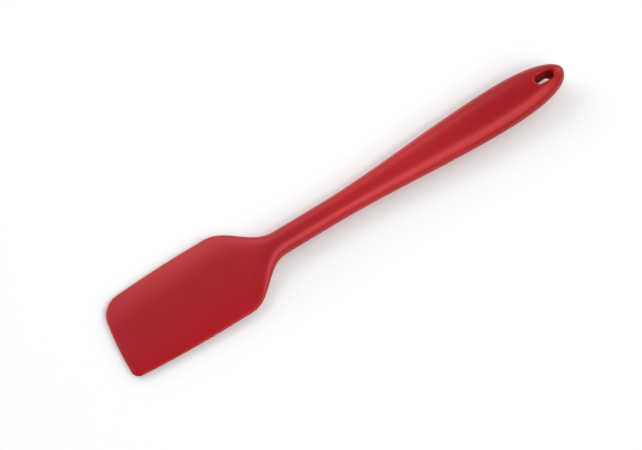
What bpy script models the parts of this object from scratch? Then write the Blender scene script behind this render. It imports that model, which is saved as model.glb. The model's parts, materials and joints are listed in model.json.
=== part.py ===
"""One-piece silicone spatula: a red moulded skin over a stiffening core, with a flexible blade.

Frame: +X runs towards the hanging end, +Y across the blade, +Z up, with the underside on Z = 0.
Lengths are in metres. A station is a distance along X from where the front edge crosses the
centreline. The flexible part of the blade is three sections on knuckle hinges parallel to Y.
"""

import math

import bmesh
import bpy
import numpy as np

# Outline, seen from above
LENGTH = 0.285  # station of the hanging end
BLADE_HALF_WIDTH = 0.0244  # at the widest station
BLADE_NARROWING = 0.0025  # lost from each side between the widest station and the front
BLADE_WIDEST = 0.058
SHOULDER_START = 0.0661
SHOULDER_LENGTH = 0.0364
NECK_HALF_WIDTH = 0.0070
GRIP_HALF_WIDTH = 0.0126
NECK_LENGTH = 0.0258  # from the shoulder's end to where the grip starts to widen
TAIL_LENGTH = 0.0417  # length over which the hanging end is rounded, behind the fullest grip
TAIL_POWER = 2.27  # of the rounding in plan
TAIL_HEIGHT_POWER = 4.2  # of the rounding in thickness, which is blunter
FRONT_SLANT = math.radians(6.9)
FRONT_RADIUS = 0.183
WIDE_CORNER_RADIUS = 0.0129  # corner on the +Y side
TIGHT_CORNER_RADIUS = 0.0044  # corner on the -Y side

# Thickness, each as half of the whole
EDGE_HALF = 0.0008  # the blade's rim, which is fully rounded
FRONT_CROWN = 0.0012  # added at the middle of the blade's front
ROOT_CROWN = 0.0021  # added at the middle of the blade's root
CROWN_START = 0.008
CROWN_RUN = 0.018  # distance behind the front edge over which the crown builds up
FLAT_SHARE = 0.35  # share of the half width that stays flat
NECK_HALF_HEIGHT = 0.0055
GRIP_HALF_HEIGHT = 0.0073
TAIL_RISE = 0.0019
TAIL_RISE_RUN = 0.070

# Flexible blade
LIP_MARGIN = 0.0055  # from the end of the wide corner to the hinge line of the lip
HINGE_PITCH = 0.0110
HINGE_GAP = 0.00035

# Hanging slot
SLOT_FROM_END = 0.0128  # centre of the slot to the hanging end
SLOT_HALF_LENGTH = 0.0059
SLOT_HALF_WIDTH = 0.0027
SLOT_RIM = 0.0012  # radius of the rounded rims

# Stiffening core
SKIN = 0.0024  # silicone over the core in the handle
CORE_GAP = 0.0003
CORE_MARGIN = 0.0060  # from the first hinge line to the core
CORE_SLOT_WALL = 0.0065  # silicone between the core and the hanging slot
CORE_END_ROUND = 0.0080
CORE_END_SHARE = 0.98  # how far the rounding closes the core's end
PADDLE_SIDE_WALL = 0.0116  # from the paddle's side to the blade's widest rim
PADDLE_HALF_HEIGHT = 0.0008
PADDLE_CORNER = 0.0050
PADDLE_POWER = 4.0
STEM_POWER = 2.3
KEY_RADIUS = 0.0022
PADDLE_KEYS = (0.0065, 0.0180)  # pairs of keying holes in the paddle, from the core's front
PADDLE_KEY_OFFSET = 0.0065
STEM_KEY_COUNT = 3

# Places that follow from the sizes above
SHOULDER_END = SHOULDER_START + SHOULDER_LENGTH
GRIP_START = SHOULDER_END + NECK_LENGTH
TAIL_START = LENGTH - TAIL_LENGTH
SLOT_CENTRE = LENGTH - SLOT_FROM_END
CORE_END = SLOT_CENTRE - SLOT_HALF_LENGTH - CORE_SLOT_WALL
PADDLE_HALF_WIDTH = BLADE_HALF_WIDTH - PADDLE_SIDE_WALL

# Fineness of the meshes
WIDTH_STEPS = 20
KNUCKLE_STEPS = 8
OUTLINE_STEPS = 120
CORE_SIDES = 20
KEY_SIDES = 16


def ease(t):
    """Smooth step from 0 to 1."""
    t = np.clip(t, 0.0, 1.0)
    return t * t * (3.0 - 2.0 * t)


def ease_more(t):
    """Smooth step from 0 to 1 with no curvature at its ends."""
    t = np.clip(t, 0.0, 1.0)
    return t**3 * (10.0 - 15.0 * t + 6.0 * t * t)


def mix(a, b, share):
    return a + (b - a) * share


def shoulder(s):
    """0 on the blade and 1 on the handle."""
    return ease_more((s - SHOULDER_START) / (SHOULDER_END - SHOULDER_START))


def grip(s):
    """0 at the neck and 1 at the grip's fullest station."""
    return ease((s - GRIP_START) / (TAIL_START - GRIP_START))


def tail_rounding(s, power):
    """Superelliptic factor that closes the hanging end."""
    u = np.clip((s - TAIL_START) / TAIL_LENGTH, 0.0, 1.0)
    return (1.0 - u**power) ** (1.0 / power)


def half_width(s):
    ahead = np.clip((BLADE_WIDEST - s) / BLADE_WIDEST, 0.0, None)
    blade = BLADE_HALF_WIDTH - BLADE_NARROWING * ahead**2
    handle = mix(NECK_HALF_WIDTH, GRIP_HALF_WIDTH, grip(s))
    return mix(blade, handle, shoulder(s)) * tail_rounding(s, TAIL_POWER)


def front_centre(side):
    """Centre of the front edge's arc, in (station, distance towards this side)."""
    return np.array([FRONT_RADIUS * math.cos(FRONT_SLANT), -side * FRONT_RADIUS * math.sin(FRONT_SLANT)])


def corner_circle(side, radius):
    """Centre of the corner that touches the front arc and this side, and its two touching points."""
    arc = front_centre(side)

    def circle_at(s):
        step = 1e-6
        slope = (half_width(s + step) - half_width(s - step)) / (2.0 * step)
        inward = np.array([slope, -1.0]) / math.hypot(slope, 1.0)
        touch = np.array([s, float(half_width(s))])
        return touch + radius * inward, touch

    low = -CROWN_START
    high = BLADE_WIDEST
    for _ in range(50):
        middle = (low + high) / 2.0
        centre, _ = circle_at(middle)
        if np.linalg.norm(centre - arc) > FRONT_RADIUS - radius:
            low = middle
        else:
            high = middle
    centre, side_touch = circle_at(high)
    outward = (centre - arc) / np.linalg.norm(centre - arc)
    return centre, centre + radius * outward, side_touch


def arc_points(centre, start, end, count):
    """Points on the shorter arc about centre from start to end, both included."""
    first = start - centre
    last = end - centre
    turn = math.atan2(first[0] * last[1] - first[1] * last[0], first @ last)
    angles = math.atan2(first[1], first[0]) + np.linspace(0.0, turn, count)
    return centre + np.linalg.norm(first) * np.stack([np.cos(angles), np.sin(angles)], axis=1)


def front_half(side, radius, rear):
    """Outline of one side's front from the centreline round the corner to the rear station."""
    centre, front_touch, side_touch = corner_circle(side, radius)
    front = arc_points(front_centre(side), np.zeros(2), front_touch, OUTLINE_STEPS)
    corner = arc_points(centre, front_touch, side_touch, OUTLINE_STEPS)
    stations = np.linspace(side_touch[0], rear, OUTLINE_STEPS)
    flank = np.stack([stations, half_width(stations)], axis=1)
    half = np.concatenate([front, corner[1:], flank[1:]])
    return half * (1.0, side)


def front_outline(rear):
    """Outline of the blade from the -Y side's rear station round the front to the +Y side's."""
    tight = front_half(-1, TIGHT_CORNER_RADIUS, rear)
    wide = front_half(1, WIDE_CORNER_RADIUS, rear)
    return np.concatenate([tight[::-1], wide[1:]])


LIP_HINGE = corner_circle(1, WIDE_CORNER_RADIUS)[2][0] + LIP_MARGIN
FRONT_HINGE = LIP_HINGE + HINGE_PITCH
ROOT_HINGE = FRONT_HINGE + HINGE_PITCH
CORE_START = ROOT_HINGE + CORE_MARGIN
BLADE_OUTLINE = front_outline(SHOULDER_END)
MIDDLE = (BLADE_OUTLINE[:, 0].min() + LENGTH) / 2.0  # station of the frame's origin


def edge_distance(s, y):
    """Shortest distance from each point to the blade's outline."""
    starts = BLADE_OUTLINE[:-1]
    runs = BLADE_OUTLINE[1:] - starts
    points = np.stack([s, y], axis=-1)[..., None, :]
    along = ((points - starts) * runs).sum(-1) / (runs * runs).sum(-1)
    nearest = starts + np.clip(along, 0.0, 1.0)[..., None] * runs
    return np.linalg.norm(points - nearest, axis=-1).min(-1)


def crown(s):
    """Half thickness that the blade's middle has over its rim."""
    return mix(FRONT_CROWN, ROOT_CROWN, ease((s - CROWN_START) / (SHOULDER_START - CROWN_START)))


def body_half_height(s):
    return mix(NECK_HALF_HEIGHT, GRIP_HALF_HEIGHT, grip(s))


def handle_half_height(s):
    """Half the handle's thickness at its middle, closed at the hanging end."""
    return body_half_height(s) * tail_rounding(s, TAIL_HEIGHT_POWER)


def middle_height(s):
    """Height of the middle surface, which puts the underside's centreline on Z = 0 ahead of the tail."""
    rise = TAIL_RISE * ease((s - (LENGTH - TAIL_RISE_RUN)) / TAIL_RISE_RUN)
    return mix(EDGE_HALF + crown(s), body_half_height(s), shoulder(s)) + rise


def half_thickness(s, y):
    """Half of the silicone's whole thickness above a point of the plan."""
    share = np.clip(np.abs(y) / np.maximum(half_width(s), 1e-9), 0.0, 1.0)
    inside = np.clip(EDGE_HALF - edge_distance(s, y), 0.0, EDGE_HALF)
    rim = np.sqrt(EDGE_HALF**2 - inside**2)
    across = 1.0 - (np.clip(share - FLAT_SHARE, 0.0, None) / (1.0 - FLAT_SHARE)) ** 2
    behind = FRONT_RADIUS - np.hypot(s - front_centre(1)[0], y - front_centre(1)[1])
    lengthwise = 1.0 - (1.0 - np.clip(behind / CROWN_RUN, 0.0, 1.0)) ** 2
    blade = rim + crown(s) * across * lengthwise
    handle = handle_half_height(s) * np.sqrt(1.0 - share**2)
    return mix(blade, handle, shoulder(s))


def width_shares():
    """Shares of the half width at which the profiles are taken, close together near the rims."""
    return np.sin(np.linspace(-math.pi / 2.0, math.pi / 2.0, WIDTH_STEPS + 1))


def surface_point(s, y, side):
    """Points on the upper (side 1) or lower (side -1) surface."""
    return np.stack([s - MIDDLE, y, middle_height(s) + side * half_thickness(s, y)], axis=-1)


def plan_lines(start, end, shares, spread):
    """Stations and widths along each profile's line, from its start to its end station."""
    stations = start[:, None] + (end - start)[:, None] * spread[None, :]
    return stations, shares[:, None] * half_width(stations)


def knuckle_radius(hinge, shares):
    """Half thickness at the hinge line, which is the radius of the knuckle there."""
    y = shares * half_width(hinge)
    return half_thickness(np.full_like(y, hinge), y)


def knuckle_arc(hinge, shares, radius, first_angle):
    """Arcs about the hinge axis, from the upper surface round the rear to the lower one."""
    spread = np.linspace(0.0, 1.0, KNUCKLE_STEPS + 1)
    angles = first_angle[:, None] + (math.pi - 2.0 * first_angle)[:, None] * spread
    x = hinge - MIDDLE + radius[:, None] * np.sin(angles)
    y = np.broadcast_to((shares * half_width(hinge))[:, None], x.shape)
    z = middle_height(hinge) + radius[:, None] * np.cos(angles)
    return np.stack([x, y, z], axis=-1)


def knuckle(hinge, shares):
    """Rounded rear end of the section ahead of a hinge."""
    return knuckle_arc(hinge, shares, knuckle_radius(hinge, shares), np.zeros_like(shares))


def groove_lip(hinge, shares):
    """Station at which each profile behind a hinge starts, clear of the knuckle."""
    radius = knuckle_radius(hinge, shares)
    return hinge + np.sqrt((radius + HINGE_GAP) ** 2 - radius**2)


def groove(hinge, shares):
    """Hollow front end of the section behind a hinge, from the lower lip back to the upper one."""
    radius = knuckle_radius(hinge, shares)
    first_angle = np.arctan2(groove_lip(hinge, shares) - hinge, radius)
    arc = knuckle_arc(hinge, shares, radius + HINGE_GAP, first_angle)
    return arc[:, -2:0:-1]


def loft(name, profiles, pivot):
    """Closes a row of closed profiles into one mesh, whose own origin is at the pivot."""
    rows, columns = profiles.shape[:2]
    index = np.arange(rows * columns).reshape(rows, columns)
    following = np.roll(index, -1, axis=1)
    quads = np.stack([index[:-1], following[:-1], following[1:], index[1:]], axis=-1)
    mesh = bpy.data.meshes.new(name)
    mesh.from_pydata((profiles - pivot).reshape(-1, 3).tolist(), [], quads.reshape(-1, 4).tolist())
    work = bmesh.new()
    work.from_mesh(mesh)
    bmesh.ops.remove_doubles(work, verts=work.verts, dist=2e-6)
    bmesh.ops.dissolve_degenerate(work, edges=work.edges, dist=1e-7)
    bmesh.ops.holes_fill(work, edges=work.edges, sides=0)
    bmesh.ops.triangulate(work, faces=work.faces)
    bmesh.ops.recalc_face_normals(work, faces=work.faces)
    work.to_mesh(mesh)
    work.free()
    mesh.shade_smooth()
    mesh.set_sharp_from_angle(angle=math.radians(40.0))
    obj = bpy.data.objects.new(name, mesh)
    obj.location = pivot
    return obj


def pivot_of(hinge):
    return np.array([hinge - MIDDLE, 0.0, float(middle_height(hinge))])


def lip_section(name, hinge):
    """Front section, from the front outline back to the knuckle of its hinge."""
    shares = width_shares()
    outline = front_outline(hinge)
    walked = np.concatenate([[0.0], np.cumsum(np.linalg.norm(np.diff(outline, axis=0), axis=1))])
    wanted = np.linspace(0.0, walked[-1], WIDTH_STEPS + 1)
    front = np.stack([np.interp(wanted, walked, outline[:, axis]) for axis in (0, 1)], axis=-1)
    rear = np.stack([np.full_like(shares, hinge), shares * half_width(hinge)], axis=-1)
    spread = np.array([0.0, 0.012, 0.05, 0.14, 0.3, 0.52, 0.76, 1.0])
    plan = front[:, None] + (rear - front)[:, None] * spread[None, :, None]
    upper = surface_point(plan[..., 0], plan[..., 1], 1)
    lower = surface_point(plan[..., 0], plan[..., 1], -1)
    profiles = np.concatenate([upper, knuckle(hinge, shares)[:, 1:-1], lower[:, :0:-1]], axis=1)
    return loft(name, profiles, pivot_of(hinge))


def middle_section(name, front_hinge, rear_hinge):
    """Section between the groove of one hinge and the knuckle of the next."""
    shares = width_shares()
    spread = np.linspace(0.0, 1.0, 5)
    s, y = plan_lines(groove_lip(front_hinge, shares), np.full_like(shares, rear_hinge), shares, spread)
    upper = surface_point(s, y, 1)
    lower = surface_point(s, y, -1)
    rear = knuckle(rear_hinge, shares)[:, 1:-1]
    profiles = np.concatenate([upper, rear, lower[:, ::-1], groove(front_hinge, shares)], axis=1)
    return loft(name, profiles, pivot_of(rear_hinge))


def skin_stations():
    """Shares of the length behind the root hinge, closer at the shoulder and the hanging end."""
    root = np.linspace(ROOT_HINGE, SHOULDER_START, 4, endpoint=False)
    bend = np.linspace(SHOULDER_START, SHOULDER_END, 9, endpoint=False)
    stem = np.linspace(SHOULDER_END, TAIL_START, 9, endpoint=False)
    tail = TAIL_START + TAIL_LENGTH * np.sin(np.linspace(0.0, math.pi / 2.0, 10))
    stations = np.concatenate([root, bend, stem, tail])
    return (stations - ROOT_HINGE) / (LENGTH - ROOT_HINGE)


def handle_section(name):
    """Handle and stiff root of the blade, from the groove of the root hinge to the hanging end."""
    shares = width_shares()
    lip = groove_lip(ROOT_HINGE, shares)
    s, y = plan_lines(lip, np.full_like(shares, LENGTH), shares, skin_stations())
    upper = surface_point(s, y, 1)
    lower = surface_point(s, y, -1)
    profiles = np.concatenate([upper, lower[:, -2::-1], groove(ROOT_HINGE, shares)], axis=1)
    return loft(name, profiles, np.zeros(3))


def slot_ring(grow, z):
    """One ring of the hanging slot: a straight-sided slot with round ends, grown all round."""
    radius = SLOT_HALF_WIDTH + grow
    straight = SLOT_HALF_LENGTH - SLOT_HALF_WIDTH
    angles = np.linspace(0.0, 2.0 * math.pi, 32, endpoint=False) + math.pi / 32.0
    x = SLOT_CENTRE - MIDDLE + radius * np.cos(angles) + straight * np.sign(np.cos(angles))
    return np.stack([x, radius * np.sin(angles), np.full_like(x, z)], axis=-1)


def capped(rings):
    """Adds a closing point at each end of a row of rings."""
    first = np.broadcast_to(rings[0].mean(axis=0), rings[0].shape)
    last = np.broadcast_to(rings[-1].mean(axis=0), rings[-1].shape)
    return np.stack([first, *rings, last])


def slot_cutter(name):
    """Solid of the hanging slot, flared at both faces by its rounded rims."""
    middle = float(middle_height(SLOT_CENTRE))
    face = float(half_thickness(np.array(SLOT_CENTRE), np.array(SLOT_HALF_WIDTH + SLOT_RIM)))
    angles = np.linspace(0.0, math.pi / 2.0, 4)
    flare = SLOT_RIM * (1.0 - np.cos(angles))
    depth = face - SLOT_RIM + SLOT_RIM * np.sin(angles)
    lower = [slot_ring(grow, middle - z) for grow, z in zip(flare[::-1], depth[::-1])]
    upper = [slot_ring(grow, middle + z) for grow, z in zip(flare, depth)]
    below = slot_ring(SLOT_RIM, middle - 2.0 * face)
    above = slot_ring(SLOT_RIM, middle + 2.0 * face)
    return loft(name, capped([below, *lower, *upper, above]), np.zeros(3))


def core_section(s, grow):
    """One ring of the core grown all round, flat in the blade's root and oval in the handle."""
    handle = float(shoulder(s))
    corner_radius = PADDLE_CORNER + grow
    from_corner = np.clip((CORE_START + PADDLE_CORNER - s) / corner_radius, 0.0, 1.0)
    corner = corner_radius * (1.0 - math.sqrt(1.0 - from_corner**2))
    into_end = np.clip((s - (CORE_END - CORE_END_ROUND)) / (CORE_END_ROUND + grow), 0.0, 1.0)
    closing = math.sqrt(1.0 - CORE_END_SHARE * into_end**2)
    stem_width = (half_width(s) - SKIN) * closing
    stem_height = (handle_half_height(s) - SKIN) * closing
    width = mix(PADDLE_HALF_WIDTH - corner, stem_width, handle) + grow
    height = mix(PADDLE_HALF_HEIGHT, stem_height, handle) + grow
    power = mix(PADDLE_POWER, STEM_POWER, handle)
    angles = np.linspace(0.0, 2.0 * math.pi, CORE_SIDES, endpoint=False)
    y = width * np.sign(np.cos(angles)) * np.abs(np.cos(angles)) ** (2.0 / power)
    z = height * np.sign(np.sin(angles)) * np.abs(np.sin(angles)) ** (2.0 / power)
    return np.stack([np.full_like(y, s - MIDDLE), y, middle_height(s) + z], axis=-1)


def core_stations():
    """Stations of the core's rings, close together where its form changes."""
    quarter = np.linspace(0.0, math.pi / 2.0, 5)
    stem_end = CORE_END - CORE_END_ROUND
    corner = CORE_START + PADDLE_CORNER * (1.0 - np.cos(quarter))
    bend = np.linspace(SHOULDER_START, SHOULDER_END, 9, endpoint=False)
    stem = np.linspace(SHOULDER_END, stem_end, 6, endpoint=False)
    return np.concatenate([corner, bend, stem, stem_end + CORE_END_ROUND * np.sin(quarter)])


def core_solid(name):
    rings = [core_section(s, 0.0) for s in core_stations()]
    return loft(name, capped(rings), np.zeros(3))


def core_cavity(name, mouth):
    """Room for the core, open at its mouth so that the hollow isn't sealed."""
    stations = [mouth, CORE_START - CORE_GAP, *core_stations()[1:], CORE_END + CORE_GAP]
    rings = [core_section(s, CORE_GAP) for s in stations]
    return loft(name, capped(rings), np.zeros(3))


def key_places():
    """Plan places of the keying holes through the core."""
    paddle = [(CORE_START + s, side * PADDLE_KEY_OFFSET) for s in PADDLE_KEYS for side in (-1, 1)]
    stem = np.linspace(GRIP_START, CORE_END, STEM_KEY_COUNT + 2)[1:-1]
    return paddle + [(s, 0.0) for s in stem]


def key_pins(name, radius):
    """Upright pins at all the keying holes, as one cutter."""
    work = bmesh.new()
    for s, y in key_places():
        pin = bmesh.ops.create_cone(work, cap_ends=True, segments=KEY_SIDES, radius1=radius, radius2=radius,
                                    depth=2.0 * GRIP_HALF_HEIGHT)
        bmesh.ops.translate(work, verts=pin["verts"], vec=(s - MIDDLE, y, float(middle_height(s))))
    mesh = bpy.data.meshes.new(name)
    work.to_mesh(mesh)
    work.free()
    return bpy.data.objects.new(name, mesh)


def material(name, colour, roughness):
    made = bpy.data.materials.new(name)
    made.use_nodes = True
    shader = made.node_tree.nodes["Principled BSDF"]
    shader.inputs["Base Color"].default_value = (*colour, 1.0)
    shader.inputs["Roughness"].default_value = roughness
    shader.inputs["Metallic"].default_value = 0.0
    return made


def cut(target, cutter):
    modifier = target.modifiers.new("cut " + cutter.name, "BOOLEAN")
    modifier.operation = "DIFFERENCE"
    modifier.solver = "EXACT"
    modifier.object = cutter


def as_cutter(obj, collection):
    collection.objects.link(obj)
    obj.hide_render = True
    obj.display_type = "WIRE"
    return obj


def as_part(obj, collection, surface, parent=None):
    collection.objects.link(obj)
    obj.data.materials.append(surface)
    if parent:
        obj.location = obj.location - parent.matrix_world.translation
        obj.parent = parent
    bpy.context.view_layer.update()
    return obj


def build():
    for obj in list(bpy.data.objects):
        bpy.data.objects.remove(obj, do_unlink=True)
    parts = bpy.data.collections.new("silicone_spatula")
    cutters = bpy.data.collections.new("cutters")
    bpy.context.scene.collection.children.link(parts)
    bpy.context.scene.collection.children.link(cutters)
    silicone = material("red silicone", (0.42, 0.018, 0.026), 0.42)
    nylon = material("natural nylon", (0.62, 0.58, 0.48), 0.5)

    skin = as_part(handle_section("handle_skin"), parts, silicone)
    mid = as_part(middle_section("blade_mid", FRONT_HINGE, ROOT_HINGE), parts, silicone, skin)
    front = as_part(middle_section("blade_front", LIP_HINGE, FRONT_HINGE), parts, silicone, mid)
    as_part(lip_section("blade_lip", LIP_HINGE), parts, silicone, front)
    core = as_part(core_solid("stiffening_core"), parts, nylon, skin)

    cavity = as_cutter(core_cavity("core_room", ROOT_HINGE + HINGE_GAP), cutters)
    cut(cavity, as_cutter(key_pins("silicone_keys", KEY_RADIUS - CORE_GAP), cutters))
    cut(core, as_cutter(key_pins("key_holes", KEY_RADIUS), cutters))
    cut(skin, cavity)
    cut(skin, as_cutter(slot_cutter("hanging_slot"), cutters))


build()
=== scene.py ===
"""Looks of a one-piece silicone spatula: its bending skin, the core inside it and a pale studio."""

import json
import math

import bpy
import numpy as np
from bpy.props import FloatProperty, FloatVectorProperty, IntProperty, PointerProperty
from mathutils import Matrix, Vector


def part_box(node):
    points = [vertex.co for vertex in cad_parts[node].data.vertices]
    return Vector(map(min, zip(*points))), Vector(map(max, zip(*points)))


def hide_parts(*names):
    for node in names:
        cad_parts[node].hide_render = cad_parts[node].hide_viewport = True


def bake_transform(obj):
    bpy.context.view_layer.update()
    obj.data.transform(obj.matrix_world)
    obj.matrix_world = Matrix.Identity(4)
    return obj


bl_info = {
    "name": "Silicone Spatula",
    "version": (1, 0, 0),
    "blender": (4, 5, 0),
    "location": "View3D > Sidebar > Spatula",
    "description": "Builds the skin, core finish and studio of a silicone spatula",
    "category": "Object",
}

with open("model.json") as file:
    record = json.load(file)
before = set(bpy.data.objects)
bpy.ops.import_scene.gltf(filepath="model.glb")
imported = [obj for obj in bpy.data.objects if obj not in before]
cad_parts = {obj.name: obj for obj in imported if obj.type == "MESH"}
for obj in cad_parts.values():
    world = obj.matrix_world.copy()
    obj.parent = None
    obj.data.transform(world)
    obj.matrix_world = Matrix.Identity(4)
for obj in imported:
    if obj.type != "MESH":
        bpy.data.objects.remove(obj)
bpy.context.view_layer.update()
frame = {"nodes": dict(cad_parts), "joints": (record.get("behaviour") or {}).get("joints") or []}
HINGES = {joint["name"]: joint["pos_m"][0] for joint in frame["joints"]}
ROOT_HINGE = HINGES["blade_root_flex"]
FRONT_HINGE = HINGES["blade_middle_flex"]
LIP_HINGE = HINGES["blade_lip_flex"]
SKIN_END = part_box("handle_skin")[1]

CENTRELINE_LENGTH = 0.285  # from the front edge to the tail
PARTING_LINE_TOP = 0.00005  # half width of the parting line's ridge at its full height
PARTING_LINE_FOOT = 0.00016  # half width of the ridge where it has died away

PATH_POINTS = 200  # on each stretch of an outline
SLOT_SPOKES = 81  # round each half of the slot
SLOT_WALL_ROWS = 9  # from the slot's upper to its lower rim
SLOT_RIM_REACH = 1.6  # how far ahead of the slot the grid is fine, in radii of the slot's rim
SLOT_RIM_STEP = 0.1  # spacing of the grid lines there, in radii of the slot's rim
LIP_SPOKES = 261  # round the front of the blade
MERGE_DISTANCE = 1e-7
# Faces this close to the slot's wall get the shaded copy of the silicone, whose deeper red is painted
# shade.
SLOT_WALL_BAND = 0.0001  # from the slot's wall, given the wall's finish
SHARP_ANGLE = math.radians(60.0)
FLOOR_REACH = 3.0


def length(name, description, default):
    """A size in metres."""
    return FloatProperty(name=name, description=description, default=default, subtype="DISTANCE",
                         unit="LENGTH", precision=5)


class SpatulaShape(bpy.types.PropertyGroup):
    """Sizes of the silicone form. X is measured from the middle of the spatula, towards its tail."""

    front_x: length("Front", "Where the front edge crosses the centreline", SKIN_END[0] - CENTRELINE_LENGTH)
    tail_x: length("Tail", "End of the handle", SKIN_END[0])
    blade_half_width: length("Blade half width", "Half the blade at its widest", SKIN_END[1])
    blade_narrowing: length("Blade narrowing", "Lost from each side towards the front", 0.0025)
    blade_widest: length("Blade widest", "From the front edge to the greatest width", 0.058)
    shoulder_start: length("Shoulder start", "From the front edge to the shoulder", 0.0661)
    shoulder_length: length("Shoulder length", "From the blade to the neck", 0.0364)
    neck_half_width: length("Neck half width", "Half the neck's width", 0.0070)
    neck_length: length("Neck length", "From the shoulder to where the grip widens", 0.0258)
    grip_half_width: length("Grip half width", "Half the grip's greatest width", 0.0126)
    tail_length: length("Tail length", "Length over which the tail is rounded", 0.0417)
    front_radius: length("Front radius", "Radius of the slightly bowed front edge", 0.183)
    front_slant: FloatProperty(name="Front slant", description="Turn of the front edge from square",
                               default=math.radians(6.9), subtype="ANGLE", unit="ROTATION")
    wide_corner: length("Wide corner", "Radius of the front corner on the +Y side", 0.0129)
    tight_corner: length("Tight corner", "Radius of the front corner on the -Y side", 0.0044)
    rim_radius: length("Rim radius", "Radius of the blade's rounded rim", 0.0008)
    front_crown: length("Front crown", "Half thickness added at the middle of the front", 0.0012)
    root_crown: length("Root crown", "Half thickness added at the middle of the root", 0.0021)
    crown_start: length("Crown start", "From the front edge to where the crown starts to grow", 0.008)
    crown_run: length("Crown run", "Distance behind the front edge over which the crown builds up", 0.018)
    neck_half_height: length("Neck half height", "Half the neck's thickness", 0.0055)
    grip_half_height: length("Grip half height", "Half the grip's thickness", 0.0073)
    tail_rise: length("Tail rise", "How far the tail's middle lies above the grip's", 0.0019)
    tail_rise_run: length("Tail rise run", "Length over which the tail rises", 0.070)
    slot_from_tail: length("Slot place", "From the tail to the middle of the hanging slot", 0.0128)
    slot_half_length: length("Slot half length", "Half the slot between its walls, lengthwise", 0.0059)
    slot_half_width: length("Slot half width", "Half the slot between its walls, crosswise", 0.0027)
    slot_rim: length("Slot rim", "Radius of the slot's rounded rims", 0.0014)
    flat_share: FloatProperty(name="Flat share", description="Share of the half width that stays flat",
                              default=0.35, min=0.0, max=0.9, subtype="FACTOR")
    tail_power: FloatProperty(name="Tail power", description="Exponent of the tail's rounding in plan",
                              default=2.27, min=1.5, max=6.0)
    tail_height_power: FloatProperty(name="Tail height power", default=4.2, min=1.5, max=9.0,
                                     description="Exponent of the tail's rounding in thickness")
    rows: IntProperty(name="Rows", description="Grid rows from the centreline to the rim", default=36)
    step: length("Step", "Spacing of the grid lines along the handle", 0.0012)
    bend_reach: length("Bend reach", "How far the blade bends on each side of a hinge line", 0.0040)
    bend_step: length("Bend step", "Spacing of the grid lines where the blade bends", 0.0005)


class SpatulaFinish(bpy.types.PropertyGroup):
    """Colours, some of them painted light and shade, and gloss."""

    red: FloatVectorProperty(name="Red", description="Colour of the silicone on the blade", size=3,
                             default=(0.286, 0.0105, 0.0165), min=0.0, max=1.0, subtype="COLOR")
    # Painted sheen: the blade's +Y side is paler, standing in for the back light glancing off its slopes.
    pale_red_painted_sheen: FloatVectorProperty(name="Pale red", description="Colour of the blade's +Y side", size=3,
                                  default=(0.335, 0.0250, 0.0300), min=0.0, max=1.0, subtype="COLOR")
    # Painted light: the blade's -Y side is a deeper, more saturated red, where that painted sheen is
    # missing.
    deep_red_painted_light: FloatVectorProperty(name="Deep red", description="Colour of the blade's -Y side", size=3,
                                  default=(0.330, 0.0045, 0.0095), min=0.0, max=1.0, subtype="COLOR")
    # Painted light: the grip is a lighter red than the blade.
    grip_red_painted_light: FloatVectorProperty(name="Grip red", description="Colour of the silicone on the grip", size=3,
                                  default=(0.352, 0.0115, 0.0165), min=0.0, max=1.0, subtype="COLOR")
    # Painted shade: the tail is a darker, deeper red than the grip.
    tail_red_painted_shade: FloatVectorProperty(name="Tail red", description="Colour of the silicone at the tail", size=3,
                                  default=(0.282, 0.0040, 0.0075), min=0.0, max=1.0, subtype="COLOR")
    # Painted shade: the slot's wall is a deeper, more saturated red, standing in for the shade and red
    # bounce light inside the slot.
    wall_red_painted_shade: FloatVectorProperty(name="Wall red", description="Colour of the slot's wall", size=3,
                                  default=(0.320, 0.0036, 0.0080), min=0.0, max=1.0, subtype="COLOR")
    red_roughness: FloatProperty(name="Silicone roughness", description="Roughness of the silicone",
                                 default=0.36, min=0.0, max=1.0, subtype="FACTOR")
    nylon: FloatVectorProperty(name="Nylon", description="Colour of the core", size=3, subtype="COLOR",
                               default=(0.60, 0.55, 0.43), min=0.0, max=1.0)
    nylon_roughness: FloatProperty(name="Nylon roughness", description="Roughness of the core",
                                   default=0.48, min=0.0, max=1.0, subtype="FACTOR")


class SpatulaStudio(bpy.types.PropertyGroup):
    """Floor, lights and camera."""

    azimuth: FloatProperty(name="Azimuth", description="Camera's turn about the upright axis",
                           default=math.radians(-33.25), subtype="ANGLE", unit="ROTATION")
    elevation: FloatProperty(name="Elevation", description="Camera's height above the horizon",
                             default=math.radians(67.0), subtype="ANGLE", unit="ROTATION")
    distance: length("Distance", "From the camera to the point it looks at", 0.900)
    target: FloatVectorProperty(name="Target", description="Point that the camera looks at", size=3,
                                default=(-0.01753, -0.00360, 0.0060), subtype="XYZ", unit="LENGTH")
    lens: FloatProperty(name="Lens", description="Focal length", default=95.16, subtype="DISTANCE_CAMERA")
    floor: FloatVectorProperty(name="Floor", description="Colour of the floor", size=3, subtype="COLOR",
                               default=(0.87, 0.87, 0.87), min=0.0, max=1.0)


def ease(t):
    """Smooth step: 3 t^2 - 2 t^3, held at 0 and 1 outside."""
    t = np.clip(t, 0.0, 1.0)
    return t * t * (3.0 - 2.0 * t)


def ease_more(t):
    """Smooth step with no curvature at its ends: 10 t^3 - 15 t^4 + 6 t^5."""
    t = np.clip(t, 0.0, 1.0)
    return t**3 * (10.0 - 15.0 * t + 6.0 * t * t)


def mix(a, b, share):
    """Straight mix, from a at a share of 0 to b at a share of 1."""
    return a + (b - a) * share


def shoulder(shape, x):
    """0 on the blade, 1 on the handle, with a smooth step along the shoulder between them."""
    return ease_more((x - shape.front_x - shape.shoulder_start) / shape.shoulder_length)


def grip(shape, x):
    """0 at the neck and 1 where the tail's rounding starts, with a smooth step between them."""
    start = shape.front_x + shape.shoulder_start + shape.shoulder_length + shape.neck_length
    return ease((x - start) / (shape.tail_x - shape.tail_length - start))


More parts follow.
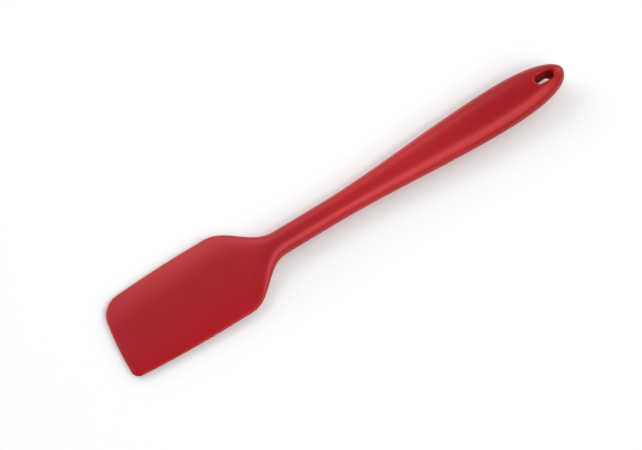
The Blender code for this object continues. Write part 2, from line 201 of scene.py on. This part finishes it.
def tail_rounding(shape, x, power):
    """Superellipse (1 - u^p)^(1/p), where u runs from 0 to 1 along the tail."""
    u = np.clip((x - shape.tail_x) / shape.tail_length + 1.0, 0.0, 1.0)
    return (1.0 - u**power) ** (1.0 / power)


def half_width(shape, x):
    """Blade narrowed by a parabola towards the front, mixed into the handle along the shoulder."""
    ahead = np.clip(1.0 - (x - shape.front_x) / shape.blade_widest, 0.0, None)
    blade = shape.blade_half_width - shape.blade_narrowing * ahead**2
    handle = mix(shape.neck_half_width, shape.grip_half_width, grip(shape, x))
    return mix(blade, handle, shoulder(shape, x)) * tail_rounding(shape, x, shape.tail_power)


def side_slope(shape, x):
    """Change of the half width per unit of length, as a central difference."""
    step = 1e-6
    return (half_width(shape, x + step) - half_width(shape, x - step)) / (2.0 * step)


def front_centre(shape, side):
    """Centre of the front edge's arc, with Y measured towards this side."""
    along = shape.front_radius * math.cos(shape.front_slant)
    return np.array([shape.front_x + along, -side * shape.front_radius * math.sin(shape.front_slant)])


def corner_circle(shape, side):
    """Centre and radius of a front corner, and where it touches the front arc and the side.

    A circle slides along the side's inner normal until it also touches the front arc: the distance
    between the two centres is then the difference of the two radii. The place is found by halving.
    """
    radius = shape.wide_corner if side > 0 else shape.tight_corner
    arc = front_centre(shape, side)
    low = shape.front_x - radius
    high = shape.front_x + shape.blade_widest / 2.0
    for _ in range(50):
        x = (low + high) / 2.0
        slope = side_slope(shape, x)
        side_touch = np.array([x, half_width(shape, x)])
        centre = side_touch + radius * np.array([slope, -1.0]) / math.hypot(slope, 1.0)
        if np.linalg.norm(centre - arc) > shape.front_radius - radius:
            low = x
        else:
            high = x
    outward = (centre - arc) / np.linalg.norm(centre - arc)
    return centre, radius, centre + radius * outward, side_touch


def arc_points(centre, start, end, count):
    """Points on the shorter arc about the centre from start to end."""
    first = start - centre
    last = end - centre
    turn = math.atan2(first[0] * last[1] - first[1] * last[0], first @ last)
    angles = math.atan2(first[1], first[0]) + np.linspace(0.0, turn, count)
    return centre + np.linalg.norm(first) * np.stack([np.cos(angles), np.sin(angles)], axis=1)


def front_half(shape, side, rear_x):
    """One side's front outline: the bowed front edge, the corner's arc and the side up to rear_x."""
    centre, _, front_touch, side_touch = corner_circle(shape, side)
    middle = np.array([shape.front_x, 0.0])
    edge = arc_points(front_centre(shape, side), middle, front_touch, PATH_POINTS)
    corner = arc_points(centre, front_touch, side_touch, PATH_POINTS)
    x = np.linspace(side_touch[0], rear_x, PATH_POINTS)
    flank = np.stack([x, half_width(shape, x)], axis=1)
    return np.concatenate([edge, corner[1:], flank[1:]]) * (1.0, side)


def walked(path, shares):
    """Points at these shares of a path's length."""
    lengths = np.concatenate([[0.0], np.cumsum(np.linalg.norm(np.diff(path, axis=0), axis=1))])
    wanted = shares * lengths[-1]
    return np.stack([np.interp(wanted, lengths, path[:, axis]) for axis in (0, 1)], axis=-1)


def cross(a, b):
    """Cross product of two directions in plan, which is positive where b lies anticlockwise of a."""
    return a[..., 0] * b[..., 1] - a[..., 1] * b[..., 0]


def rim_distance(shape, x, y):
    """Distance inwards from the blade's outline.

    It is the smaller distance to the side and to the front arc. Between the spokes of a corner's two
    touching points, it is the corner's radius less the distance to the corner's centre.
    """
    slope = side_slope(shape, x)
    side = (half_width(shape, x) - np.abs(y)) / np.hypot(slope, 1.0)
    distance = np.minimum(side, front_distance(shape, x, y))
    for turn in (-1, 1):
        centre, radius, front_touch, side_touch = corner_circle(shape, turn)
        spoke = np.stack([x - centre[0], turn * y - centre[1]], axis=-1)
        first = front_touch - centre
        last = side_touch - centre
        sense = np.sign(cross(first, last))
        between = (cross(first, spoke) * sense > 0) & (cross(spoke, last) * sense > 0)
        distance = np.where(between, radius - np.hypot(spoke[..., 0], spoke[..., 1]), distance)
    return distance


def front_distance(shape, x, y):
    """Distance behind the front edge's arc."""
    centre = front_centre(shape, 1)
    return shape.front_radius - np.hypot(x - centre[0], y - centre[1])


def slot_distance(shape, x, y):
    """Distance outwards from the wall of the hanging slot, which is a straight slot with round ends."""
    straight = shape.slot_half_length - shape.slot_half_width
    beyond = np.clip(np.abs(x - shape.tail_x + shape.slot_from_tail) - straight, 0.0, None)
    return np.hypot(beyond, y) - shape.slot_half_width


def crown(shape, x):
    """Half thickness that the blade's middle has over its rim, growing smoothly to the root."""
    run = (x - shape.front_x - shape.crown_start) / (shape.shoulder_start - shape.crown_start)
    return mix(shape.front_crown, shape.root_crown, ease(run))


def body_half_height(shape, x):
    """Half the handle's thickness before its tail is rounded, mixed from the neck's to the grip's."""
    return mix(shape.neck_half_height, shape.grip_half_height, grip(shape, x))


def middle_height(shape, x):
    """Height of the mould's parting surface.

    It is the centreline's half thickness behind the front's crown run, plus the tail's rise. So the
    underside's centreline lies on Z = 0 from there up to where the tail rises.
    """
    rise = shape.tail_rise * ease((x - shape.tail_x) / shape.tail_rise_run + 1.0)
    blade = shape.rim_radius + crown(shape, x)
    return mix(blade, body_half_height(shape, x), shoulder(shape, x)) + rise


def half_thickness(shape, x, y):
    """Height above the parting surface.

    On the blade it is a quarter-round rim, plus a crown that is flat in the middle and a parabola
    towards the sides and the front. On the handle it is an ellipse. The shoulder mixes the two, and
    a quarter round is taken off round the hanging slot.
    """
    share = np.clip(np.abs(y) / np.maximum(half_width(shape, x), 1e-9), 0.0, 1.0)
    inside = np.clip(shape.rim_radius - rim_distance(shape, x, y), 0.0, shape.rim_radius)
    rim = np.sqrt(shape.rim_radius**2 - inside**2)
    across = 1.0 - (np.clip(share - shape.flat_share, 0.0, None) / (1.0 - shape.flat_share)) ** 2
    behind = np.clip(front_distance(shape, x, y) / shape.crown_run, 0.0, 1.0)
    blade = rim + crown(shape, x) * across * (1.0 - (1.0 - behind) ** 2)
    body = body_half_height(shape, x) * tail_rounding(shape, x, shape.tail_height_power)
    handle = body * np.sqrt(1.0 - share**2)
    near = np.clip(shape.slot_rim - slot_distance(shape, x, y), 0.0, shape.slot_rim)
    lost = shape.slot_rim - np.sqrt(shape.slot_rim**2 - near**2)
    return mix(blade, handle, shoulder(shape, x)) - lost


def sheet(shape, plan, face):
    """Upper (face 1) or lower (face -1) surface over a grid of plan points."""
    x, y = plan[..., 0], plan[..., 1]
    return np.stack([x, y, middle_height(shape, x) + face * half_thickness(shape, x, y)], axis=-1)


def row_shares(shape):
    """Shares from the centreline to the rim, close together at both ends: (1 - cos t) / 2."""
    return (1.0 - np.cos(np.linspace(0.0, math.pi, shape.rows + 1))) / 2.0


def spokes(inner, outer, shares):
    """Straight lines from each inner point to its outer point, cut at the shares."""
    return inner[:, None] + (outer - inner)[:, None] * shares[None, :, None]


def patch(points, toward):
    """Points and triangles of one grid, with its faces turned towards a direction."""
    rows, columns = points.shape[:2]
    index = np.arange(rows * columns).reshape(rows, columns)
    corners = index[:-1, :-1], index[1:, :-1], index[1:, 1:], index[:-1, 1:]
    a, b, c, d = (corner.ravel() for corner in corners)
    triangles = np.concatenate([np.stack([a, b, c], axis=1), np.stack([a, c, d], axis=1)])
    flat = points.reshape(-1, 3)
    first, second, third = (flat[triangles[:, corner]] for corner in range(3))
    areas = np.cross(second - first, third - first)
    if areas.sum(axis=0) @ np.asarray(toward, dtype=float) < 0.0:
        triangles = triangles[:, ::-1]
    return flat, triangles


def joined(patches):
    """One mesh from several patches: points that meet are merged and collapsed faces are dropped."""
    starts = np.cumsum([0] + [len(points) for points, _ in patches[:-1]])
    points = np.concatenate([points for points, _ in patches])
    triangles = np.concatenate([faces + start for (_, faces), start in zip(patches, starts)])
    _, first, same = np.unique(np.round(points / MERGE_DISTANCE).astype(np.int64), axis=0,
                               return_index=True, return_inverse=True)
    triangles = same.ravel()[triangles]
    whole = (triangles[:, 0] != triangles[:, 1]) & (triangles[:, 1] != triangles[:, 2])
    whole &= triangles[:, 0] != triangles[:, 2]
    return points[first], triangles[whole]


def both_faces(shape, plan):
    """Upper and lower patches over a plan grid, which meet at its last column, the rim."""
    patches = []
    for face in (1, -1):
        points = sheet(shape, plan, face)
        points[:, -1, 2] = middle_height(shape, plan[:, -1, 0])
        patches.append(patch(points, (0, 0, face)))
    return patches


def mirrored(plan):
    """The same plan on the other side of the centreline."""
    return plan * (1.0, -1.0)


def end_cap(shape, x, toward):
    """Flat end across the blade at x, from the lower to the upper surface."""
    shares = row_shares(shape)
    shares = np.concatenate([-shares[:0:-1], shares])
    plan = np.stack([np.full_like(shares, x), shares * half_width(shape, x)], axis=-1)
    points = np.stack([sheet(shape, plan, 1), sheet(shape, plan, -1)])
    points[:, (0, -1), 2] = middle_height(shape, x)
    return patch(points, (toward, 0, 0))


def cross_lines(shape, stations):
    """Plan grid of lines straight across one half, from the centreline to the rim."""
    centreline = np.stack([stations, np.zeros_like(stations)], axis=1)
    rim = np.stack([stations, half_width(shape, stations)], axis=1)
    return spokes(centreline, rim, row_shares(shape))


def slot_wall_path(shape):
    """One half of the slot's wall in plan, from its front end round its +Y side to its rear end."""
    middle = shape.tail_x - shape.slot_from_tail
    straight = shape.slot_half_length - shape.slot_half_width
    quarter = np.linspace(0.0, math.pi / 2.0, PATH_POINTS // 2)
    ahead = np.stack([middle - straight - shape.slot_half_width * np.cos(quarter),
                      shape.slot_half_width * np.sin(quarter)], axis=1)
    behind = np.stack([2.0 * middle - ahead[::-1, 0], ahead[::-1, 1]], axis=1)
    return np.concatenate([ahead, behind])


def tail_rim_path(shape, front_x):
    """One half of the outline from front_x round to the tail, with the points close at the tail."""
    x = front_x + (shape.tail_x - front_x) * np.sin(np.linspace(0.0, math.pi / 2.0, 2 * PATH_POINTS))
    return np.stack([x, half_width(shape, x)], axis=1)


def stretches(*marks):
    """Stations through (place, spacing) marks: each stretch takes the spacing of its first mark."""
    pieces = []
    for (start, spacing), (end, _) in zip(marks[:-1], marks[1:]):
        count = max(2, int(round((end - start) / spacing)))
        pieces.append(np.linspace(start, end, count, endpoint=False))
    return np.concatenate([*pieces, [marks[-1][0]]])


def handle_skin_mesh(shape, front_x):
    """Handle and root of the blade, closed at front_x, with the hanging slot through its tail.

    Lines straight across make it up to the slot, and spokes from the slot's wall to the outline from
    there on. The wall itself is straight from its upper to its lower rim.
    """
    slot_front = shape.tail_x - shape.slot_from_tail - shape.slot_half_length
    rim_start = slot_front - SLOT_RIM_REACH * shape.slot_rim
    bend_end = 2.0 * ROOT_HINGE - front_x
    lines = stretches((front_x, shape.bend_step), (bend_end, shape.step),
                      (rim_start, SLOT_RIM_STEP * shape.slot_rim), (slot_front, shape.step))
    around = np.linspace(0.0, 1.0, SLOT_SPOKES)
    rim = walked(tail_rim_path(shape, slot_front), around)
    rim[:, 1] = half_width(shape, rim[:, 0])
    ring = spokes(walked(slot_wall_path(shape), around), rim, row_shares(shape))
    patches = [end_cap(shape, front_x, -1)]
    for half in (cross_lines(shape, lines), ring):
        patches += both_faces(shape, half) + both_faces(shape, mirrored(half))
    for side in (1.0, -1.0):
        inner = ring[:, 0] * (1.0, side)
        top = sheet(shape, inner, 1)
        bottom = sheet(shape, inner, -1)
        wall = top + (bottom - top) * np.linspace(0.0, 1.0, SLOT_WALL_ROWS)[:, None, None]
        patches.append(patch(wall, (0, -side, 0)))
    return joined(patches)


def band_skin_mesh(shape, front_x, rear_x):
    """Middle stretch of the blade, as lines straight across it between two flat ends."""
    half = cross_lines(shape, stretches((front_x, shape.bend_step), (rear_x, shape.bend_step)))
    patches = both_faces(shape, half) + both_faces(shape, mirrored(half))
    return joined(patches + [end_cap(shape, front_x, -1), end_cap(shape, rear_x, 1)])


def lip_skin_mesh(shape, rear_x):
    """Front of the blade, as spokes from the middle of its flat rear end out to the outline."""
    outline = np.concatenate([front_half(shape, 1, rear_x)[::-1], front_half(shape, -1, rear_x)[1:]])
    rim = walked(outline, np.linspace(0.0, 1.0, LIP_SPOKES))
    plan = spokes(np.broadcast_to([rear_x, 0.0], rim.shape), rim, row_shares(shape))
    return joined(both_faces(shape, plan) + [end_cap(shape, rear_x, 1)])


def make_piece(name, points, triangles, shape, finish):
    """Mesh object at the origin, shaded smooth, with the height above the parting surface stored."""
    old = bpy.data.objects.get(name)
    if old:
        bpy.data.objects.remove(old, do_unlink=True)
    mesh = bpy.data.meshes.new(name)
    mesh.vertices.add(len(points))
    mesh.vertices.foreach_set("co", points.astype(np.float32).ravel())
    mesh.loops.add(triangles.size)
    mesh.loops.foreach_set("vertex_index", triangles.astype(np.int32).ravel())
    mesh.polygons.add(len(triangles))
    mesh.polygons.foreach_set("loop_start", np.arange(0, triangles.size, 3, dtype=np.int32))
    mesh.update(calc_edges=True)
    if mesh.validate():
        raise RuntimeError(name + " has faults in its faces")
    mesh.shade_smooth()
    mesh.set_sharp_from_angle(angle=SHARP_ANGLE)
    parting = mesh.attributes.new("above_parting", "FLOAT", "POINT")
    above = points[:, 2] - middle_height(shape, points[:, 0])
    parting.data.foreach_set("value", above.astype(np.float32))
    mesh.materials.append(finish)
    piece = bpy.data.objects.new(name, mesh)
    bpy.context.scene.collection.objects.link(piece)
    return piece


def value_node(tree, kind, **settings):
    """A node with its settings: sockets by name, anything else as a property."""
    node = tree.nodes.new(kind)
    for key, value in settings.items():
        if key in node.inputs:
            node.inputs[key].default_value = value
        else:
            setattr(node, key, value)
    return node


def math_node(tree, operation, first, second=0.0):
    """A Math node, whose two inputs are each a number or another node's output."""
    node = tree.nodes.new("ShaderNodeMath")
    node.operation = operation
    for socket, value in zip(node.inputs, (first, second)):
        if isinstance(value, (int, float)):
            socket.default_value = value
        else:
            tree.links.new(value, socket)
    return node.outputs[0]


def noise(tree, where, scale, detail, roughness=0.55):
    """Noise at a number of cells per metre, from 0 to 1 round a half."""
    node = value_node(tree, "ShaderNodeTexNoise", Scale=scale, Detail=detail, Roughness=roughness)
    tree.links.new(where, node.inputs["Vector"])
    return node.outputs["Fac"]


def moulded_surface_group():
    """Shared effect of a moulded surface.

    Clouding is a slow change of tone, Smears a change of gloss, and Grain a fine texture left by the
    mould. Their scales are in cells per metre.
    """
    name = "moulded surface"
    if name in bpy.data.node_groups:
        return bpy.data.node_groups[name]
    group = bpy.data.node_groups.new(name, "ShaderNodeTree")
    for label, default in (("Cloud Scale", 45.0), ("Grain Scale", 2600.0)):
        socket = group.interface.new_socket(label, in_out="INPUT", socket_type="NodeSocketFloat")
        socket.default_value = default
    for label in ("Clouding", "Smears", "Grain"):
        group.interface.new_socket(label, in_out="OUTPUT", socket_type="NodeSocketFloat")
    inputs = group.nodes.new("NodeGroupInput")
    outputs = group.nodes.new("NodeGroupOutput")
    place = group.nodes.new("ShaderNodeTexCoord").outputs["Object"]

    for effect, scale, detail in (("Clouding", "Cloud Scale", 3.0), ("Grain", "Grain Scale", 4.0)):
        node = value_node(group, "ShaderNodeTexNoise", Detail=detail)
        group.links.new(place, node.inputs["Vector"])
        group.links.new(inputs.outputs[scale], node.inputs["Scale"])
        group.links.new(node.outputs["Fac"], outputs.inputs[effect])

    stretch = value_node(group, "ShaderNodeMapping", Scale=(0.35, 1.0, 1.0))
    group.links.new(place, stretch.inputs["Vector"])
    smears = noise(group, stretch.outputs["Vector"], 90.0, 6.0, 0.65)
    group.links.new(smears, outputs.inputs["Smears"])
    return group


def new_material(name):
    """A fresh material, with its node tree and its Principled shader."""
    old = bpy.data.materials.get(name)
    if old:
        bpy.data.materials.remove(old)
    made = bpy.data.materials.new(name)
    made.use_nodes = True
    return made, made.node_tree, made.node_tree.nodes["Principled BSDF"]


def tinted(tree, fac, dark, light):
    """Colour between two tones."""
    ramp = tree.nodes.new("ShaderNodeMix")
    ramp.data_type = "RGBA"
    ramp.inputs["A"].default_value = (*dark, 1.0)
    ramp.inputs["B"].default_value = (*light, 1.0)
    tree.links.new(fac, ramp.inputs["Factor"])
    return ramp.outputs["Result"]


def ranged(tree, value, low, high, new_low, new_high):
    """A value carried from one range to another and held there."""
    node = tree.nodes.new("ShaderNodeMapRange")
    tree.links.new(value, node.inputs["Value"])
    for label, number in (("From Min", low), ("From Max", high), ("To Min", new_low), ("To Max", new_high)):
        node.inputs[label].default_value = number
    return node.outputs["Result"]


def stepped(tree, fac, *stops):
    """Colour that passes smoothly through (position, colour) stops."""
    node = tree.nodes.new("ShaderNodeValToRGB")
    tree.links.new(fac, node.inputs["Fac"])
    ramp = node.color_ramp
    ramp.interpolation = "EASE"
    ramp.elements.remove(ramp.elements[1])
    ramp.elements[0].position = stops[0][0]
    ramp.elements[0].color = (*stops[0][1], 1.0)
    for position, colour in stops[1:]:
        ramp.elements.new(position).color = (*colour, 1.0)
    return node.outputs["Color"]


def red_silicone(shape, finish):
    """Satin silicone: tones that shift slowly, painted light and shade across the blade and along the
    handle, smears, fine grain and the mould's parting line.
    """
    made, tree, shader = new_material("red silicone")
    surface = value_node(tree, "ShaderNodeGroup", node_tree=moulded_surface_group())
    place = value_node(tree, "ShaderNodeSeparateXYZ")
    tree.links.new(tree.nodes.new("ShaderNodeTexCoord").outputs["Object"], place.inputs["Vector"])
    along = ranged(tree, place.outputs["X"], shape.front_x, shape.tail_x, 0.0, 1.0)
    # Painted light across the blade: a painted sheen makes its +Y side paler, and its -Y side is a deeper
    # red.
    across = ranged(tree, place.outputs["Y"], -shape.blade_half_width, shape.blade_half_width, 0.0, 1.0)
    blade = stepped(tree, across, (0.04, finish.deep_red_painted_light), (0.55, finish.red), (0.96, finish.pale_red_painted_sheen))
    # Painted light along the handle: lighter over the grip, with painted shade at the tail.
    handle = stepped(tree, along, (0.30, finish.red), (0.48, finish.grip_red_painted_light), (0.62, finish.grip_red_painted_light),
                     (0.88, finish.tail_red_painted_shade))
    tones = tree.nodes.new("ShaderNodeMix")
    tones.data_type = "RGBA"
    tree.links.new(ranged(tree, along, 0.26, 0.38, 0.0, 1.0), tones.inputs["Factor"])
    tree.links.new(blade, tones.inputs["A"])
    tree.links.new(handle, tones.inputs["B"])
    cloudy = value_node(tree, "ShaderNodeHueSaturation")
    clouding = ranged(tree, surface.outputs["Clouding"], 0.35, 0.65, 0.96, 1.04)
    tree.links.new(clouding, cloudy.inputs["Value"])
    tree.links.new(tones.outputs["Result"], cloudy.inputs["Color"])
    tree.links.new(cloudy.outputs["Color"], shader.inputs["Base Color"])
    rough = finish.red_roughness
    gloss = ranged(tree, surface.outputs["Smears"], 0.3, 0.7, rough - 0.035, rough + 0.035)
    tree.links.new(gloss, shader.inputs["Roughness"])

    above = value_node(tree, "ShaderNodeAttribute", attribute_name="above_parting")
    away = math_node(tree, "ABSOLUTE", above.outputs["Fac"])
    ridge = ranged(tree, away, PARTING_LINE_TOP, PARTING_LINE_FOOT, 1.0, 0.0)
    height = math_node(tree, "MULTIPLY_ADD", surface.outputs["Grain"], 0.35)
    tree.links.new(ridge, height.node.inputs[2])
    bump = value_node(tree, "ShaderNodeBump", Strength=0.35, Distance=0.00004)
    tree.links.new(height, bump.inputs["Height"])
    tree.links.new(bump.outputs["Normal"], shader.inputs["Normal"])
    shader.inputs["IOR"].default_value = 1.6
    shader.inputs["Specular IOR Level"].default_value = 1.0
    shader.inputs["Specular Tint"].default_value = (1.0, 0.17, 0.16, 1.0)
    shader.inputs["Sheen Weight"].default_value = 0.14
    shader.inputs["Sheen Roughness"].default_value = 0.38
    shader.inputs["Sheen Tint"].default_value = (1.0, 0.35, 0.36, 1.0)
    return made


def slot_wall_painted_shade_silicone(finish):
    """The same silicone inside the slot as a shaded copy: a deeper red of painted shade, matt, with little
    specular and no sheen, so that no light catches it.
    """
    made, tree, shader = new_material("red silicone with painted shade in the slot")
    surface = value_node(tree, "ShaderNodeGroup", node_tree=moulded_surface_group())
    # Painted shade: the wall's deeper red, varied by the clouding.
    red = np.array(finish.wall_red_painted_shade)
    tone = tinted(tree, surface.outputs["Clouding"], red * 0.9, red * 1.1)
    tree.links.new(tone, shader.inputs["Base Color"])
    gloss = ranged(tree, surface.outputs["Smears"], 0.3, 0.7, 0.58, 0.68)
    tree.links.new(gloss, shader.inputs["Roughness"])
    bump = value_node(tree, "ShaderNodeBump", Strength=0.3, Distance=0.00004)
    tree.links.new(surface.outputs["Grain"], bump.inputs["Height"])
    tree.links.new(bump.outputs["Normal"], shader.inputs["Normal"])
    shader.inputs["IOR"].default_value = 1.41
    shader.inputs["Specular IOR Level"].default_value = 0.12
    shader.inputs["Specular Tint"].default_value = (1.0, 0.17, 0.16, 1.0)
    return made


def core_nylon(finish):
    """Glass-filled nylon: off-white with cloudy flow marks and a rough, fibrous grain."""
    made, tree, shader = new_material("glass-filled nylon")
    surface = value_node(tree, "ShaderNodeGroup", node_tree=moulded_surface_group())
    surface.inputs["Cloud Scale"].default_value = 120.0
    surface.inputs["Grain Scale"].default_value = 1400.0
    nylon = np.array(finish.nylon)
    tone = ranged(tree, surface.outputs["Clouding"], 0.3, 0.7, 0.0, 1.0)
    tree.links.new(tinted(tree, tone, nylon * 0.84, nylon * 1.08), shader.inputs["Base Color"])
    rough = finish.nylon_roughness
    gloss = ranged(tree, surface.outputs["Smears"], 0.3, 0.7, rough - 0.08, rough + 0.12)
    tree.links.new(gloss, shader.inputs["Roughness"])
    bump = value_node(tree, "ShaderNodeBump", Strength=0.5, Distance=0.0001)
    tree.links.new(surface.outputs["Grain"], bump.inputs["Height"])
    tree.links.new(bump.outputs["Normal"], shader.inputs["Normal"])
    return made


def floor_paper(studio):
    """Matt white paper sweep with a very faint tone."""
    made, tree, shader = new_material("floor paper")
    place = tree.nodes.new("ShaderNodeTexCoord").outputs["Object"]
    paper = np.array(studio.floor)
    tone = noise(tree, place, 14.0, 3.0)
    tree.links.new(tinted(tree, tone, paper * 0.995, paper * 1.005), shader.inputs["Base Color"])
    shader.inputs["Roughness"].default_value = 0.85
    shader.inputs["Specular IOR Level"].default_value = 0.1
    return made


def cut_planes():
    """The two places halfway between neighbouring hinges, where the skin's pieces meet."""
    return (FRONT_HINGE + LIP_HINGE) / 2.0, (ROOT_HINGE + FRONT_HINGE) / 2.0


def bend(piece):
    """Bake a piece's placement into its mesh; the piece is not turned or bent."""
    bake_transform(piece)


class SPATULA_OT_handle_skin(bpy.types.Operator):
    """Build the skin of the handle and the blade's root, which bends over the first hinge"""

    bl_idname = "spatula.handle_skin"
    bl_label = "Handle Skin"

    def execute(self, context):
        shape = context.scene.spatula_shape
        _, rear_cut = cut_planes()
        points, triangles = handle_skin_mesh(shape, rear_cut)
        finish = context.scene.spatula_finish
        piece = make_piece("skin_handle", points, triangles, shape, red_silicone(shape, finish))
        # The slot's wall gets the shaded copy of the silicone, with its painted shade.
        piece.data.materials.append(slot_wall_painted_shade_silicone(finish))
        centres = points[triangles].mean(axis=1)
        on_wall = slot_distance(shape, centres[:, 0], centres[:, 1]) < SLOT_WALL_BAND
        piece.data.polygons.foreach_set("material_index", on_wall.astype(np.int32))
        bend(piece)
        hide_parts("handle_skin")
        return {"FINISHED"}


class SPATULA_OT_blade_skin(bpy.types.Operator):
    """Build the skin of the blade's flexible middle and lip"""

    bl_idname = "spatula.blade_skin"
    bl_label = "Blade Skin"

    def execute(self, context):
        shape = context.scene.spatula_shape
        finish = bpy.data.materials["red silicone"]
        front_cut, rear_cut = cut_planes()
        points, triangles = band_skin_mesh(shape, front_cut, rear_cut)
        band = make_piece("skin_blade_middle", points, triangles, shape, finish)
        bend(band)
        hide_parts("blade_mid", "blade_front")

        points, triangles = lip_skin_mesh(shape, front_cut)
        lip = make_piece("skin_blade_lip", points, triangles, shape, finish)
        bend(lip)
        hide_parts("blade_lip")
        return {"FINISHED"}


class SPATULA_OT_core_finish(bpy.types.Operator):
    """Give the stiffening core its moulded nylon finish"""

    bl_idname = "spatula.core_finish"
    bl_label = "Core Finish"

    def execute(self, context):
        core = frame["nodes"]["stiffening_core"]
        finish = core_nylon(context.scene.spatula_finish)
        for slot in core.material_slots:
            slot.material = finish
        return {"FINISHED"}


def area_light(name, place, size, power):
    """A rectangular softbox facing the origin with its long side level, hidden from the camera."""
    data = bpy.data.lights.new(name, "AREA")
    data.shape = "RECTANGLE"
    data.size, data.size_y = size
    data.energy = power
    light = bpy.data.objects.new(name, data)
    light.location = place
    light.rotation_euler = Vector(place).to_track_quat("Z", "Y").to_euler()
    light.visible_camera = False
    bpy.context.scene.collection.objects.link(light)
    return light


class SPATULA_OT_stage(bpy.types.Operator):
    """Build the pale floor, the softboxes and the camera"""

    bl_idname = "spatula.stage"
    bl_label = "Stage"

    def execute(self, context):
        scene = context.scene
        studio = scene.spatula_studio
        corners = [(FLOOR_REACH * x, FLOOR_REACH * y, 0.0) for x, y in ((-1, -1), (1, -1), (1, 1), (-1, 1))]
        mesh = bpy.data.meshes.new("floor")
        mesh.from_pydata(corners, [], [(0, 1, 2, 3)])
        mesh.materials.append(floor_paper(studio))
        floor = bpy.data.objects.new("floor", mesh)
        scene.collection.objects.link(floor)

        world = bpy.data.worlds.new("studio")
        world.use_nodes = True
        sky = world.node_tree.nodes["Background"]
        sky.inputs["Color"].default_value = (1.0, 1.0, 1.0, 1.0)
        sky.inputs["Strength"].default_value = 0.44
        scene.world = world

        for name, place, size, power in (
            ("back softbox", (-0.75, 1.15, 0.80), (1.5, 0.9), 8.0),
            ("low back softbox", (-0.80, 1.20, 0.30), (1.6, 0.4), 7.5),
            ("high back softbox", (-0.15, 1.15, 0.85), (1.5, 0.5), 3.6),
            ("front strip", (0.26, -0.68, 0.96), (1.1, 0.24), 4.8),
            ("low front strip", (0.35, -1.05, 0.70), (1.3, 0.30), 4.6),
            ("tail softbox", (1.30, 0.20, 0.70), (1.0, 0.6), 5.2),
        ):
            area_light(name, place, size, power)

        data = bpy.data.cameras.new("camera")
        data.lens = studio.lens
        data.sensor_width = 36.0
        data.clip_start = 0.01
        data.clip_end = 20.0
        camera = bpy.data.objects.new("camera", data)
        level = math.cos(studio.elevation)
        back = Vector((math.sin(studio.azimuth) * level, -math.cos(studio.azimuth) * level,
                       math.sin(studio.elevation)))
        camera.location = Vector(studio.target) + back * studio.distance
        camera.rotation_euler = back.to_track_quat("Z", "Y").to_euler()
        scene.collection.objects.link(camera)
        scene.camera = camera
        scene.view_settings.view_transform = "Standard"
        return {"FINISHED"}


OPERATORS = (SPATULA_OT_handle_skin, SPATULA_OT_blade_skin, SPATULA_OT_core_finish, SPATULA_OT_stage)


class SPATULA_PT_panel(bpy.types.Panel):
    """Buttons for each piece and the stage"""

    bl_idname = "SPATULA_PT_panel"
    bl_label = "Silicone Spatula"
    bl_space_type = "VIEW_3D"
    bl_region_type = "UI"
    bl_category = "Spatula"

    def draw(self, context):
        layout = self.layout
        scene = context.scene
        for operator in OPERATORS:
            layout.operator(operator.bl_idname)
        for group in (scene.spatula_shape, scene.spatula_finish, scene.spatula_studio):
            box = layout.box()
            for name in group.__annotations__:
                box.prop(group, name)


CLASSES = (SpatulaShape, SpatulaFinish, SpatulaStudio, *OPERATORS, SPATULA_PT_panel)


def register():
    for cls in CLASSES:
        bpy.utils.register_class(cls)
    bpy.types.Scene.spatula_shape = PointerProperty(type=SpatulaShape)
    bpy.types.Scene.spatula_finish = PointerProperty(type=SpatulaFinish)
    bpy.types.Scene.spatula_studio = PointerProperty(type=SpatulaStudio)


def unregister():
    del bpy.types.Scene.spatula_studio
    del bpy.types.Scene.spatula_finish
    del bpy.types.Scene.spatula_shape
    for cls in reversed(CLASSES):
        bpy.utils.unregister_class(cls)


def main():
    """Build every piece and the stage."""
    register()
    bpy.ops.spatula.handle_skin()
    bpy.ops.spatula.blade_skin()
    bpy.ops.spatula.core_finish()
    bpy.ops.spatula.stage()


if __name__ == "__main__":
    main()
